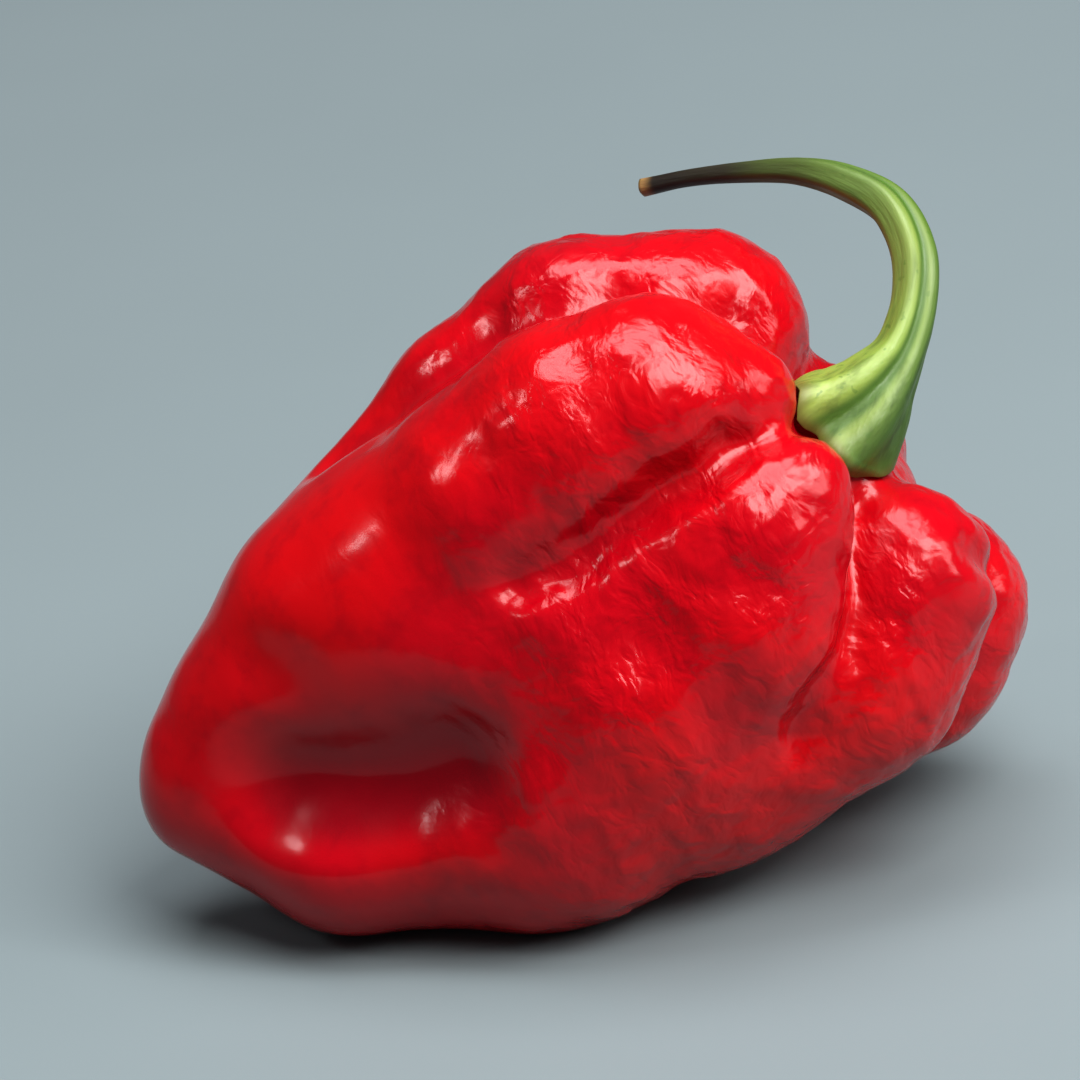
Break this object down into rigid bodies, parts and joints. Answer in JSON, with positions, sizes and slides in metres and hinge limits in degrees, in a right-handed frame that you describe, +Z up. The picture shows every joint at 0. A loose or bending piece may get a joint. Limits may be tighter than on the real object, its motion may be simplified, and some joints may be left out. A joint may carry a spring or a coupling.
{
  "type": "chilli pepper",
  "caption": "Small lobed red chilli pepper lying on its side, with deep folds between its lobes, a green calyx and a long hooked stem.",
  "frame": {"origin": "on the flat spot that the pod rests on, under the middle of the belly", "axes": "+X from the blossom tip to the stem end, +Y away from the side with the deep dent, +Z up from the surface it rests on"},
  "size_m": [0.0528, 0.0332, 0.0374],
  "materials": {
    "pod_skin": "glossy red fruit skin with fine wrinkles",
    "stem_green": "satin green stalk, browning to the cut end"
  },
  "bodies": {
    "root": {"pod": "pod_skin", "stem": "stem_green"}
  },
  "joints": []
}
